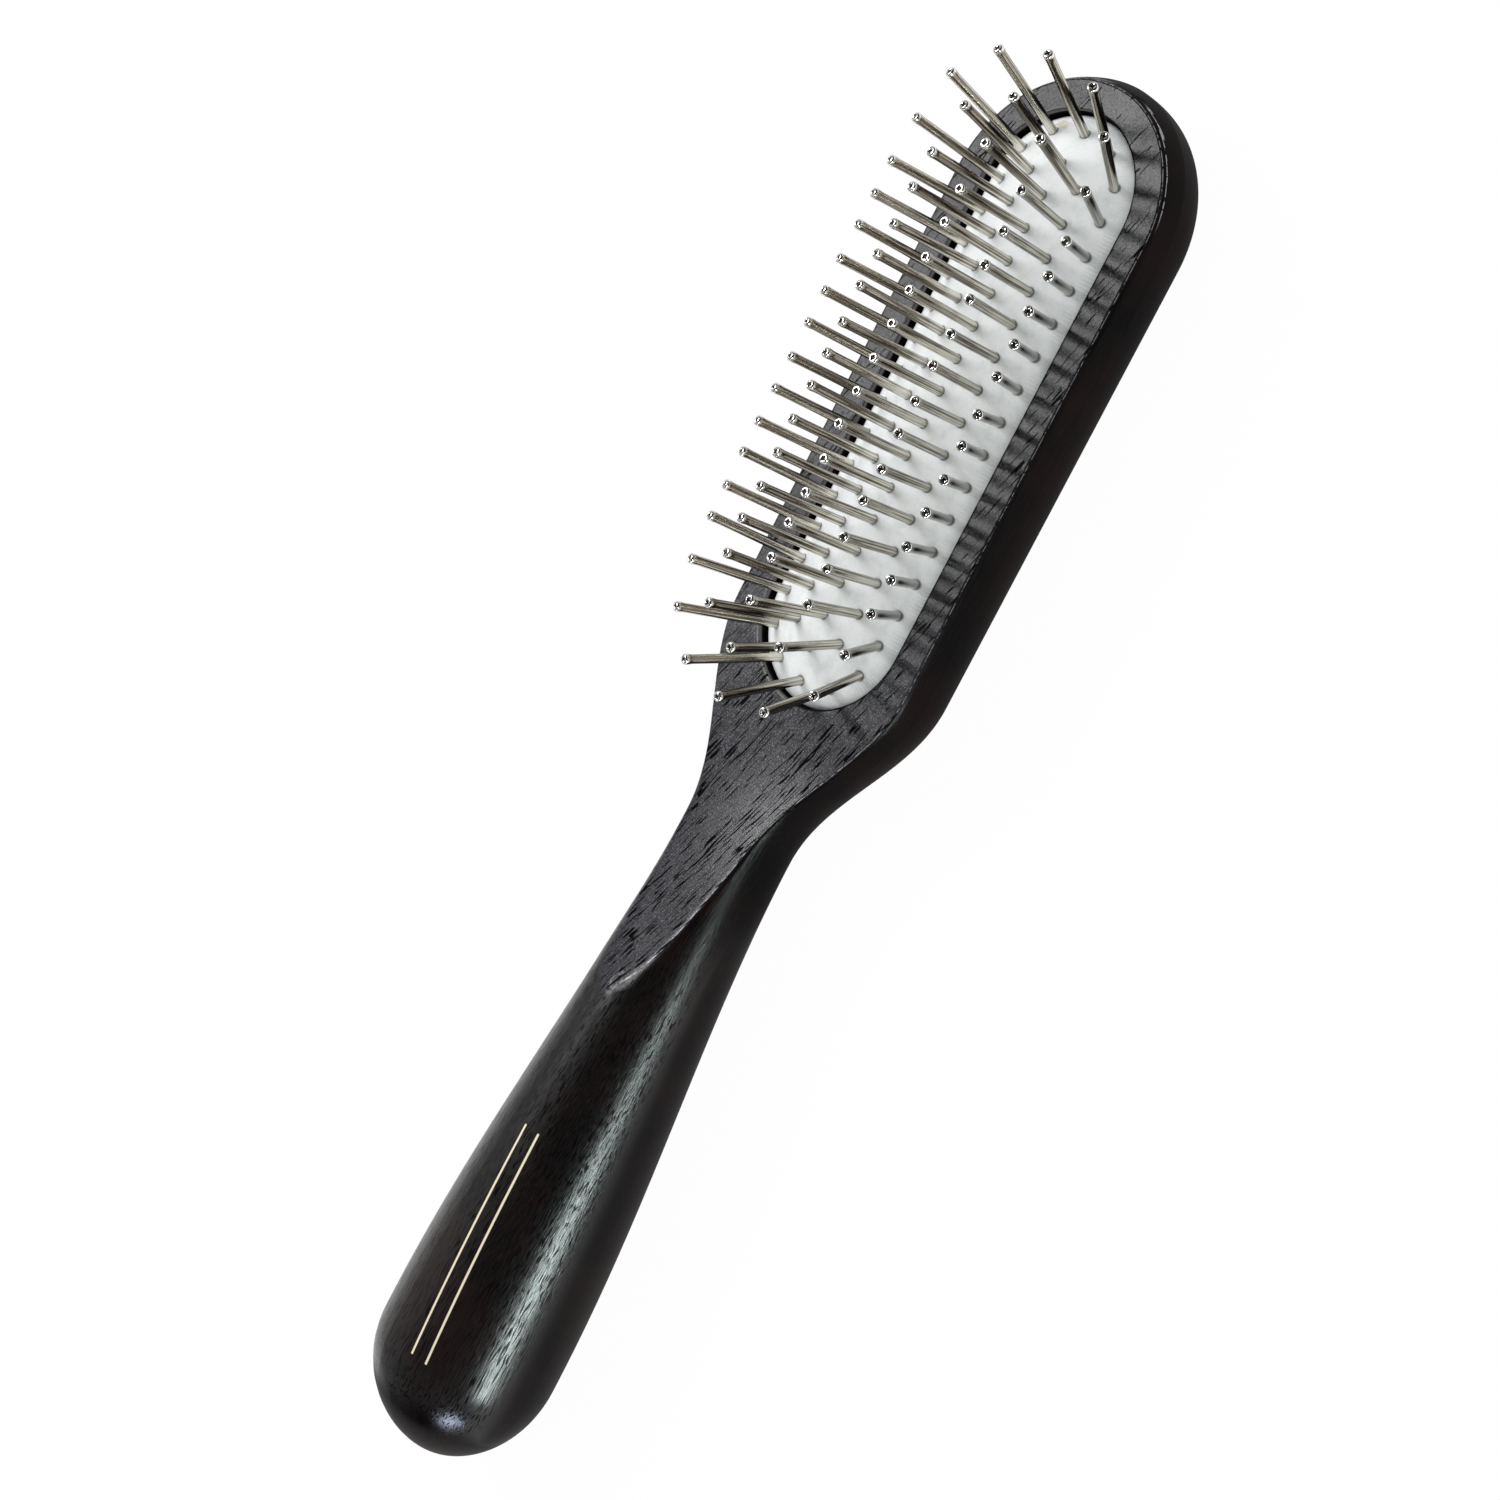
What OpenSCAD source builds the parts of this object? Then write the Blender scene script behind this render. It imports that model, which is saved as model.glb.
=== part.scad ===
// Dematting pin brush: one carved wooden body, a domed white pad seated in an oblong
// pocket of its head, and rows of polished steel pins that stand square to the pad.
// The brush lies on its back. X runs along it towards the head's tip, Z points up
// through the pins, and the origin is under the middle of the length, on the ground.

/* [Head] */
// Width of the flat face of the head
face_w = 38.6; // [37:0.1:42]
// Length of the head's straight sides
head_straight = 75; // [72:0.5:86]
// How far the sides swell out below the edge of the face
side_swell = 1.8; // [1:0.1:2.6]
// Length of the head's rounded nose
nose_len = 21.6; // [20:0.1:24]
// Height of the flat face above the middle of the handle
face_rise = 4; // [3:0.1:4.6]
// Fullness of the back across the head: 2 is an ellipse, more is squarer
back_full = 2.2; // [2:0.05:2.6]
// Fullness of the back towards the tip: 2 is an ellipse, more is blunter
nose_full = 3.3; // [2:0.1:4]

/* [Neck and handle] */
// Length over which the head narrows to the neck
shoulder_len = 34; // [28:1:45]
// Radius of the neck at its thinnest
neck_r = 9.5; // [8.5:0.1:11]
// Length from the neck to the fullest part of the handle
swell_len = 96; // [80:1:120]
// Radius of the handle at its fullest
bulb_r = 15.4; // [14.5:0.1:17.5]
// Length of the handle's rounded end
end_len = 18.7; // [15:0.1:26]
// How far the tip of that end lies below the middle of the handle
end_drop = 2.2; // [0:0.1:4]
// Fullness of that end: 2 is an ellipse, less is more pointed
end_full = 1.75; // [1.6:0.05:2.4]
// Distance from the neck's thinnest point back to where the face starts to curve up
scoop_lead = 17.5; // [8:0.5:22]
// Radius of the scoop that carries the face up to the top of the handle
scoop_r = 150; // [120:5:200]

/* [Pocket] */
// Width of the pocket in the face
pocket_w = 28.8; // [28:0.1:31]
// Length of the pocket
pocket_len = 100.6; // [97:0.2:103]
// Wood left between the pocket and the tip of the face
tip_rim = 4.5; // [3:0.1:6]
// Depth of the ledge that carries the pad's rim
ledge_depth = 5; // [4.6:0.1:6]
// Width of that ledge
ledge_w = 2.9; // [2.6:0.1:3.2]
// Depth of the air chamber under the pad
chamber_depth = 10; // [9:0.2:11.5]

/* [Pad] */
// Radius of the pad's dome
dome_r = 25.5; // [24:0.1:30]
// Height of the pad's crown above the face
crown_rise = 2.4; // [1.5:0.1:4]
// Thickness of the domed sheet
sheet_t = 2.6; // [2:0.1:3]
// Width of the pad's rim, measured in from its edge
rim_w = 2.4; // [2.1:0.1:2.6]
// Gap between the pad's edge and the wall of the pocket
pad_gap = 0.2; // [0.1:0.05:0.4]

/* [Pins] */
// Diameter of a pin
pin_d = 1.5; // [1.2:0.05:1.7]
// Length of a pin above the pad
pin_len = 17.7; // [14:0.1:22]
// Distance from the end of the pocket to the last pin of the middle column
end_margin = 3.55; // [3.3:0.05:6]
// Distance from the side of the pocket to the outer columns
side_margin = 3.3; // [3:0.1:4.4]
// Distance from the middle column to the second and fourth columns
inner_col = 5.85; // [5:0.05:6.2]
// Distance before the pocket's round ends at which the pins start to fan out
fan_lead = 4.4; // [0:0.1:8]
// Radius of that fan
fan_r = 41.5; // [38:0.5:60]
// Distance before the pocket's round ends at which the columns start to curve in
pull_lead = 10.9; // [6:0.1:16]
// Radius of the curve that the ends of the columns follow
pull_r = 92; // [85:1:130]
// Diameter of the flat head under the pad
pin_head_d = 3; // [2.4:0.1:3.1]
// Thickness of that head
pin_head_t = 0.6; // [0.4:0.05:0.9]
// Radius of the rounded edge of the tip
tip_round = 0.4; // [0.2:0.05:0.5]
// Radius of the dimple in the tip
dimple_r = 0.4; // [0.2:0.05:0.45]
// Gap around a pin in its hole
pin_gap = 0.02; // [0.02:0.01:0.08]
// Gap between a pin's head and the underside of the pad
head_gap = 0.25; // [0.2:0.05:0.5]

/* [Hidden] */

// Places along the brush
head_r = face_w / 2 + side_swell;
overall_len = nose_len + head_straight + shoulder_len + swell_len + end_len;
tip_x = overall_len / 2;
nose_x = tip_x - nose_len;
shoulder_x = nose_x - head_straight;
neck_x = shoulder_x - shoulder_len;
bulb_x = neck_x - swell_len;
scoop_x = neck_x + scoop_lead;

// Heights. The loft's sections are polygons whose lowest side lies on the ground.
section_sides = 48;
half_step = 180 / section_sides;
axis_z = bulb_r * cos(half_step);
face_z = axis_z + face_rise;

// Height and depth of the head's section above and below its widest line. The back of
// the head and the fullest part of the handle touch the ground together.
head_back = axis_z / pow(cos(half_step), 2 / back_full);
swell_ratio = (face_w / 2) / head_r;
face_reach = nose_len * swell_ratio;
head_top = face_rise / sqrt(1 - swell_ratio * swell_ratio);

// Pocket, pad and dome. The pocket is an oblong with half-round ends.
pocket_r = pocket_w / 2;
pocket_half = pocket_len / 2 - pocket_r;
pad_x = nose_x + face_reach - tip_rim - pocket_len / 2;
pad_r = pocket_r - pad_gap;
chamber_r = pocket_r - ledge_w;
ledge_z = face_z - ledge_depth;
dome_z = face_z + crown_rise - dome_r;

// Rows of pins: rows of three and of two alternate between an arc of three at each end.
// Rows are half a pitch apart, and the middle pin of an arc stands half a pitch further.
pin_r = pin_d / 2;
row_count = 33;
mid_row = (row_count - 1) / 2;
pitch = (pocket_len / 2 - end_margin) * 2 / (mid_row + 1);
outer_col = pocket_r - side_margin;
fan_start = pocket_half - fan_lead;
pull_start = pocket_half - pull_lead;
arc_side_back = 1.35;
smooth = 96;

// Eases from 0 to 1 with no slope at either end
function ease(t) = (1 - cos(180 * t)) / 2;
function mix(a, b, t) = a + (b - a) * t;
function signed_pow(v, p) = sign(v) * pow(abs(v), p);

// A section is [place along X, height of its widest line, half width, height above and
// depth below that line, power that shapes the back]
function nose_section(a) = [nose_x + nose_len * sin(a), axis_z, head_r * cos(a),
    head_top * cos(a), head_back * pow(cos(a), 2 / nose_full), 2 / back_full];
function neck_section(x, t) = [x, axis_z, mix(neck_r, head_r, t), mix(neck_r, head_top, t),
    mix(neck_r, head_back, t), mix(1, 2 / back_full, t)];
function round_section(x, z, r) = [x, z, r, r, r, 1];

nose_steps = 16;
shoulder_steps = 14;
swell_steps = 20;
end_steps = 12;
swell_power = 0.94;

nose = [for (i = [1:nose_steps]) nose_section(90 - 90 * i / nose_steps)];
shoulder = [for (i = [0:shoulder_steps]) let (t = i / shoulder_steps)
    neck_section(shoulder_x - shoulder_len * t, 1 - ease(t))];
handle = [for (i = [1:swell_steps]) let (t = i / swell_steps)
    round_section(neck_x - swell_len * t, axis_z,
        mix(neck_r, bulb_r, ease(pow(t, swell_power))))];
handle_end = [for (i = [1:end_steps - 1]) let (a = 90 * i / end_steps)
    round_section(bulb_x - end_len * sin(a), axis_z - end_drop * (1 - cos(a)),
        bulb_r * pow(cos(a), 2 / end_full))];
sections = concat(nose, shoulder, handle, handle_end);

// Points of one section, counter-clockwise from the left side as seen from the tip
function section_points(s) = [for (i = [0:section_sides - 1])
    let (a = (i + 0.5) * 360 / section_sides, power = sin(a) > 0 ? 1 : s[5])
    [s[0], s[2] * signed_pow(cos(a), power),
        s[1] + (sin(a) > 0 ? s[3] : s[4]) * signed_pow(sin(a), power)]];

// Skin through all sections, closed with a point at the tip and at the handle's end
module lofted_blank() {
    n = section_sides;
    rings = len(sections);
    tip = [[tip_x, 0, axis_z]];
    butt = [[-tip_x, 0, axis_z - end_drop]];
    points = concat(tip, [for (s = sections) each section_points(s)], butt);
    last = rings * n + 1;
    faces = concat(
        [for (i = [0:n - 1]) [0, 1 + (i + 1) % n, 1 + i]],
        [for (r = [0:rings - 2]) for (i = [0:n - 1])
            let (a = 1 + r * n + i, b = 1 + r * n + (i + 1) % n)
            each [[a, b, a + n], [b, b + n, a + n]]],
        [for (i = [0:n - 1]) [last, last - n + i, last - n + (i + 1) % n]]
    );
    polyhedron(points = points, faces = faces, convexity = 4);
}

// Oblong with half-round ends about the middle of the pad
module oblong(r, z, h) {
    translate([pad_x, 0, z]) {
        translate([-pocket_half, -r, 0]) cube([2 * pocket_half, 2 * r, h]);
        translate([-pocket_half, 0, 0]) cylinder(r = r, h = h, $fn = smooth);
        translate([pocket_half, 0, 0]) cylinder(r = r, h = h, $fn = smooth);
    }
}

// What is planed off the top: flat over the head, then a long scoop up to the handle
module face_cut() {
    above = 2 * bulb_r;
    translate([0, 0, face_z])
        rotate([90, 0, 0])
            linear_extrude(height = 4 * head_r, center = true) {
                translate([scoop_x, 0]) square([tip_x - scoop_x + 1, above]);
                translate([scoop_x, scoop_r]) circle(r = scoop_r, $fn = 2 * smooth);
            }
}

module wood_body() {
    color([0.11, 0.10, 0.10])
        difference() {
            lofted_blank();
            face_cut();
            oblong(pocket_r, ledge_z, ledge_depth + 1);
            oblong(chamber_r, face_z - chamber_depth, chamber_depth + 1);
        }
}

// Long dome with round ends: a cylinder along X with a ball at each end
module dome(r) {
    translate([pad_x, 0, dome_z]) {
        rotate([0, 90, 0]) cylinder(r = r, h = 2 * pocket_half, center = true, $fn = smooth);
        for (side = [-1, 1])
            translate([side * pocket_half, 0, 0]) sphere(r = r, $fn = smooth);
    }
}

// The domed sheet with its rim, pierced for every pin
module pad() {
    height = face_z + crown_rise - ledge_z + 1;
    color([0.92, 0.92, 0.91])
        difference() {
            intersection() {
                dome(dome_r);
                oblong(pad_r, ledge_z, height);
            }
            intersection() {
                dome(dome_r - sheet_t);
                oblong(pad_r - rim_w, ledge_z - 1, height);
            }
            for (row = [1:row_count])
                for (p = row_pins(row))
                    place_on_dome(p)
                        cylinder(r = pin_r + pin_gap, h = 4 * sheet_t, center = true, $fn = 32);
        }
}

// How far a column is pulled towards the middle at a distance along the pad
function pull(x) = pow(max(0, abs(x) - pull_start), 2) / (2 * pull_r);

// Places of the pins of one row, from the middle of the pad
function row_pins(row) =
    let (step = mid_row + 1 - row, x = step * pitch / 2, end = abs(step) == mid_row)
    end ? [
        [x + sign(x) * pitch / 2, 0],
        for (side = [-1, 1]) [x + sign(x) * (pitch / 2 - arc_side_back), side * inner_col]
    ] : step % 2 == 0 ? [
        for (side = [-1, 1]) [x, side * (inner_col - pull(x))]
    ] : [
        [x, 0],
        for (side = [-1, 1]) [x, side * (outer_col - pull(x))]
    ];

// Stands children on the dome at p, leaning as a pin does there
module place_on_dome(p) {
    past_end = max(0, abs(p[0]) - pocket_half);
    z = sqrt(dome_r * dome_r - past_end * past_end - p[1] * p[1]);
    lean_x = sign(p[0]) * asin(max(0, abs(p[0]) - fan_start) / fan_r);
    lean_y = asin(p[1] / dome_r);
    translate([pad_x + p[0], p[1], dome_z + z])
        rotate([-lean_y, 0, 0])
            rotate([0, lean_x, 0])
                children();
}

// One pin: a flat head under the pad, a plain shank, and a rounded tip with a dimple
module pin() {
    foot = -(sheet_t + head_gap);
    rotate_extrude($fn = 32)
        difference() {
            union() {
                translate([0, foot]) square([pin_r, pin_len - tip_round - foot]);
                square([pin_r - tip_round, pin_len]);
                translate([pin_r - tip_round, pin_len - tip_round])
                    intersection() {
                        circle(r = tip_round, $fn = 32);
                        square(tip_round);
                    }
                translate([0, foot - pin_head_t]) square([pin_head_d / 2, pin_head_t]);
            }
            translate([0, pin_len + dimple_r / 3]) intersection() {
                circle(r = dimple_r, $fn = 32);
                translate([0, -dimple_r]) square(2 * dimple_r);
            }
        }
}

module pin_row(row) {
    color([0.72, 0.70, 0.66])
        for (p = row_pins(row))
            place_on_dome(p) pin();
}

wood_body();
pad();
pin_row(1);  // pin_row_01
pin_row(2);  // pin_row_02
pin_row(3);  // pin_row_03
pin_row(4);  // pin_row_04
pin_row(5);  // pin_row_05
pin_row(6);  // pin_row_06
pin_row(7);  // pin_row_07
pin_row(8);  // pin_row_08
pin_row(9);  // pin_row_09
pin_row(10);  // pin_row_10
pin_row(11);  // pin_row_11
pin_row(12);  // pin_row_12
pin_row(13);  // pin_row_13
pin_row(14);  // pin_row_14
pin_row(15);  // pin_row_15
pin_row(16);  // pin_row_16
pin_row(17);  // pin_row_17
pin_row(18);  // pin_row_18
pin_row(19);  // pin_row_19
pin_row(20);  // pin_row_20
pin_row(21);  // pin_row_21
pin_row(22);  // pin_row_22
pin_row(23);  // pin_row_23
pin_row(24);  // pin_row_24
pin_row(25);  // pin_row_25
pin_row(26);  // pin_row_26
pin_row(27);  // pin_row_27
pin_row(28);  // pin_row_28
pin_row(29);  // pin_row_29
pin_row(30);  // pin_row_30
pin_row(31);  // pin_row_31
pin_row(32);  // pin_row_32
pin_row(33);  // pin_row_33
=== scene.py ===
# %% [markdown]
# # A wooden pin brush, dressed for its portrait
# This file is a lesson in cells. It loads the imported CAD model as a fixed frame, builds a
# finer skin for each piece in the same place, gives every piece a procedural finish, and
# sets up the light and the camera. Run the cells in order. The brush's own lengths are
# written in millimetres and turned into metres where a mesh is made. Lamps, the scales of
# textures and the depths of bumps are in metres, as Blender takes them.

# %% Load the frame
import math
import random
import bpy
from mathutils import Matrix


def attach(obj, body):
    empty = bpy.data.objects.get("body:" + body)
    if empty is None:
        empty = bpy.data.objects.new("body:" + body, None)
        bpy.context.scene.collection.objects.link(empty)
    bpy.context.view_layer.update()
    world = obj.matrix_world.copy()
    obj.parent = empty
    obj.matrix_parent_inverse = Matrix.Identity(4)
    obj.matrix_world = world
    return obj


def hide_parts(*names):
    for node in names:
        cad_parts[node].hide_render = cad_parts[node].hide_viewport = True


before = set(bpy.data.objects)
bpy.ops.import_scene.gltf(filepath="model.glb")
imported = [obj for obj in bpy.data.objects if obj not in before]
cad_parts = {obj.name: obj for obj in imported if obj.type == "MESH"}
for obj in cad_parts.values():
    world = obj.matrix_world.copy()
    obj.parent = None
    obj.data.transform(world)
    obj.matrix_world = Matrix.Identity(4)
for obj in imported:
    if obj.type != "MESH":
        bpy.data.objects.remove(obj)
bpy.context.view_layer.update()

from types import SimpleNamespace

import bpy
import numpy as np
from mathutils import Matrix, Vector

MM = 0.001
QUARTER = math.pi / 2
print("CAD nodes:", len(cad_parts))

# %% [markdown]
# ## Sizes
# The body is one piece of carved wood. Its shape follows a few laws along its length, and
# the numbers below are the ones the CAD source uses, so that the finer skin lies on the CAD
# solid. Only the scoop's lean is added, because the real scoop dips to the left. From the
# tip backwards: a round nose, a straight head, a shoulder that eases into a thin neck, a
# swelling handle and a rounded end. +X points to the tip, +Y to the left and +Z up.

# %% Sizes of the wooden body
FACE_W, FACE_RISE = 38.6, 4.0  # width of the flat face, its height above the widest line
HEAD_STRAIGHT, NOSE_LEN, SIDE_SWELL = 75.0, 21.6, 1.8
BACK_FULL, NOSE_FULL, END_FULL = 2.2, 3.3, 1.75  # fullness of the curves, 2 is an ellipse
SHOULDER_LEN, NECK_R = 34.0, 9.5
SWELL_LEN, SWELL_POWER, BULB_R = 96.0, 0.94, 15.4
END_LEN, END_DROP = 18.7, 2.2  # the handle's end, and how far its last point droops
SCOOP_LEAD, SCOOP_R = 17.5, 165.0  # how far ahead of the neck it starts, and its radius
SCOOP_LEAN, LEAN_OVER = 0.18, 34.0  # its sideways slope, and the length that brings it in
SECTION_SIDES = 48  # the CAD's sections are polygons, a little inside the true curve

head_r = FACE_W / 2 + SIDE_SWELL
tip_x = (NOSE_LEN + HEAD_STRAIGHT + SHOULDER_LEN + SWELL_LEN + END_LEN) / 2
nose_x = tip_x - NOSE_LEN
shoulder_x = nose_x - HEAD_STRAIGHT
neck_x = shoulder_x - SHOULDER_LEN
bulb_x = neck_x - SWELL_LEN
scoop_x = neck_x + SCOOP_LEAD
half_step = math.cos(math.pi / SECTION_SIDES)
axis_z = BULB_R * half_step
face_z = axis_z + FACE_RISE
head_back = axis_z / half_step ** (2 / BACK_FULL)
head_top = FACE_RISE / math.sqrt(1 - (FACE_W / 2 / head_r) ** 2)
print("tip", round(tip_x, 2), "face height", round(face_z, 3), "neck", round(neck_x, 2))

# %% Sizes of the pocket, the pad and the pins
POCKET_W, POCKET_LEN, TIP_RIM = 28.8, 100.6, 4.5
LEDGE_DEPTH, LEDGE_W, CHAMBER_DEPTH = 5.0, 2.9, 10.0
DOME_R, CROWN_RISE, SHEET_T, PAD_GAP = 25.5, 2.4, 2.6, 0.2
PIN_D, PIN_LEN, PIN_HEAD_D, PIN_HEAD_T, HEAD_GAP = 1.5, 17.7, 3.0, 0.6, 0.25
ROWS, END_MARGIN, SIDE_MARGIN = 33, 3.55, 3.3
INNER_COL, ARC_SIDE_BACK = 5.85, 1.35
FAN_LEAD, FAN_R = 4.4, 41.5  # where the pins start to fan out, and about which radius
PULL_LEAD, PULL_R = 10.9, 92.0  # where the columns start to draw in, and how sharply

pocket_r = POCKET_W / 2
pocket_half = POCKET_LEN / 2 - pocket_r
pad_x = nose_x + NOSE_LEN * FACE_W / 2 / head_r - TIP_RIM - POCKET_LEN / 2
pad_r = pocket_r - PAD_GAP
dome_z = face_z + CROWN_RISE - DOME_R
mid_row = (ROWS - 1) // 2
pitch = (POCKET_LEN / 2 - END_MARGIN) * 2 / (mid_row + 1)
outer_col = pocket_r - SIDE_MARGIN
print("middle of the pad", round(pad_x, 2), "pitch", round(pitch, 3))

# %% [markdown]
# ## Mesh helpers
# Every skin here is made of rings: closed rows of points, one after the other along the
# piece, joined by quads and closed by one point at each end. Working in NumPy and handing
# the finished lists to Blender is quicker than calling operators.

# %% Make a mesh object from points and faces
def new_piece(name, points_mm, faces):
    mesh = bpy.data.meshes.new(name)
    mesh.from_pydata([tuple(p) for p in np.asarray(points_mm, float) * MM], [], faces)
    mesh.validate()
    mesh.shade_smooth()
    piece = bpy.data.objects.new(name, mesh)
    bpy.context.scene.collection.objects.link(piece)
    return piece


def ring_faces(rings, sides, closed_with_points=True):
    """Quads between rings of equal size; the end points come after all the ring points."""
    faces = []
    for r in range(rings - 1):
        for i in range(sides):
            a, b = r * sides + i, r * sides + (i + 1) % sides
            faces.append((a, b, b + sides, a + sides))
    if closed_with_points:
        first, last = rings * sides, rings * sides + 1
        base = (rings - 1) * sides
        faces += [(first, (i + 1) % sides, i) for i in range(sides)]
        faces += [(last, base + i, base + (i + 1) % sides) for i in range(sides)]
    return faces


# %% Store values on points, apply modifiers, and give a material
def store(piece, name, values, kind="FLOAT"):
    """Writes a value for each point of the piece, which its finish reads by this name."""
    key = "vector" if kind == "FLOAT_VECTOR" else "value"
    stored = piece.data.attributes.new(name, kind, "POINT")
    stored.data.foreach_set(key, np.asarray(values, np.float32).ravel())


def apply_modifiers(piece):
    """Turns what the modifiers show into the piece's own mesh."""
    graph = bpy.context.evaluated_depsgraph_get()
    mesh = bpy.data.meshes.new_from_object(piece.evaluated_get(graph))
    piece.modifiers.clear()
    piece.data = mesh
    return piece


def dress(finish, holders):
    for holder in holders:
        holder.data.materials.clear()
        holder.data.materials.append(finish)


# %% [markdown]
# ## The wooden body
# Each cross-section is an ellipse above its widest line and a fuller curve below. The face
# is planed flat over the head and then leaves the wood in a long shallow scoop. A saw-sharp
# edge would look false, so the two heights are joined with a soft minimum: where the
# rounded blank and the planed face differ by less than the edge's softness, the lower one
# wins gradually. That softness is one number on the head, a smaller one along the scoop,
# and a larger one on the scoop's left side, which runs out gently into the handle.

# %% Laws of the blank
EDGE_SOFT_HEAD, EDGE_SOFT_NECK, EDGE_SOFT_LEFT = 1.15, 0.7, 2.0
LEFT_BLEND, LEFT_START = 3.0, 0.3  # how the left side's softness comes in across the scoop


def ease(t):
    return (1 - math.cos(math.pi * t)) / 2


def mix(a, b, t):
    return a + (b - a) * t


def head_share(x):
    """1 on the head, 0 on the handle, eased over the shoulder."""
    if x >= shoulder_x:
        return 1.0
    return 1 - ease((shoulder_x - x) / SHOULDER_LEN) if x > neck_x else 0.0


def section_at(x):
    """Height of the widest line, half width, height above, depth below, power of the back."""
    if x > nose_x:
        k = math.sqrt(max(0.0, 1 - ((x - nose_x) / NOSE_LEN) ** 2))
        return axis_z, head_r * k, head_top * k, head_back * k ** (2 / NOSE_FULL), 2 / BACK_FULL
    if x > neck_x:
        t = head_share(x)
        return (axis_z, mix(NECK_R, head_r, t), mix(NECK_R, head_top, t),
                mix(NECK_R, head_back, t), mix(1, 2 / BACK_FULL, t))
    if x > bulb_x:
        r = mix(NECK_R, BULB_R, ease(((neck_x - x) / SWELL_LEN) ** SWELL_POWER))
        return axis_z, r, r, r, 1.0
    c = math.sqrt(max(0.0, 1 - ((bulb_x - x) / END_LEN) ** 2))
    r = BULB_R * c ** (2 / END_FULL)
    return axis_z - END_DROP * (1 - c), r, r, r, 1.0


# %% Laws of the planed face
def face_at(x):
    """Height of the planed face: flat over the head, a circle's arc over the neck."""
    back = max(0.0, scoop_x - x)
    return face_z + (SCOOP_R - math.sqrt(SCOOP_R**2 - back**2) if back < SCOOP_R else SCOOP_R)


def lean_at(x):
    """Sideways slope of the planed face: level on the head, dipping left in the scoop."""
    return SCOOP_LEAN * ease(min(1.0, max(0.0, scoop_x - x) / LEAN_OVER))


# %% [markdown]
# Near the edge the head's sides are steeper than a plain ellipse: the maker rounds the edge
# over and then lets the side run almost straight to its widest line. So the height of the
# blank over a point is mixed from two laws, the ellipse of the handle and a flank that
# climbs with a power of the distance in from the outline. Both meet at the face's edge.

# %% Height of the blank over a point, and the finished top
EDGE_OUT, FLANK_POWER = 0.45, 1.25
INNER_MOST, TINY = 0.995, 1e-6  # they keep the divisions below away from zero


def soft_min(a, b, k):
    h = np.maximum(k - np.abs(a - b), 0) / k
    return np.minimum(a, b) - h * h * k / 4


def top_over(x, y):
    """Heights of the finished top above the widest line, and how much of each is planed."""
    middle, half, above, _, _ = section_at(x)
    limit = face_at(x) - middle
    share = head_share(x)
    y = np.asarray(y, float)
    lowered = limit - lean_at(x) * y
    on_left = np.clip(y / LEFT_BLEND + LEFT_START, 0, 1) * lean_at(x) / SCOOP_LEAN
    y = np.abs(y)
    round_height = above * np.sqrt(np.maximum(0, 1 - (y / max(half, TINY)) ** 2))
    height = round_height
    if share > 0 and limit > 0:
        edge, width = FACE_W / 2, head_r
        if x <= shoulder_x:
            edge, width = half * math.sqrt(max(0.0, 1 - (limit / above) ** 2)), half
        inner = min((edge + EDGE_OUT * share) / width, INNER_MOST)
        along = max(0.0, x - nose_x) / NOSE_LEN
        outline = np.sqrt((y / width) ** 2 + along**2)
        flank = limit * (np.maximum(0, 1 - outline) / (1 - inner)) ** (1 / FLANK_POWER)
        height = round_height * (1 - share) + flank * share
    soft = mix(EDGE_SOFT_NECK, EDGE_SOFT_HEAD, share)
    soft = soft + (EDGE_SOFT_LEFT - EDGE_SOFT_NECK) * on_left
    planed = np.clip((height - lowered) / soft + 0.5, 0, 1)
    return soft_min(height, lowered, soft), planed


# %% [markdown]
# The rings lie closer together where the outline turns fast, at the nose and the handle's
# end. Within a ring the points crowd round the two edges of the planed face, so that the
# rolled edge is a shape of its own and not a trick of the shading.

# %% Stations along the body, and the points of each ring
NOSE_RINGS, HEAD_RINGS, SHOULDER_RINGS, HANDLE_RINGS, END_RINGS = 50, 60, 50, 96, 36
FLANK_POINTS, EDGE_POINTS, TOP_POINTS, BACK_POINTS = 9, 22, 9, 60
EDGE_SPREAD, SPREAD_DOWN, SPREAD_UP, SPREAD_LEAST, CROWN_GAP = 0.14, 0.7, 0.6, 0.02, 0.01

stations = [nose_x + NOSE_LEN * math.cos(QUARTER * i / NOSE_RINGS) for i in range(1, NOSE_RINGS)]
stations += list(np.linspace(nose_x, shoulder_x, HEAD_RINGS, endpoint=False))
stations += list(np.linspace(shoulder_x, neck_x, SHOULDER_RINGS, endpoint=False))
stations += list(np.linspace(neck_x, bulb_x, HANDLE_RINGS, endpoint=False))
stations += [bulb_x - END_LEN * math.sin(QUARTER * i / END_RINGS) for i in range(END_RINGS)]


def quarter_turns(edge):
    """Turns from one side up to the crown, in radians, closest together round the edge."""
    edge = min(edge, QUARTER)
    spread = min(EDGE_SPREAD, edge * SPREAD_DOWN, (QUARTER - edge) * SPREAD_UP + SPREAD_LEAST)
    low, high = edge - spread, min(edge + spread, QUARTER - CROWN_GAP)
    return np.concatenate([
        np.linspace(0, low, FLANK_POINTS, endpoint=False),
        np.linspace(low, high, EDGE_POINTS, endpoint=False),
        np.linspace(high, QUARTER, TOP_POINTS, endpoint=False),
    ])


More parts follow.
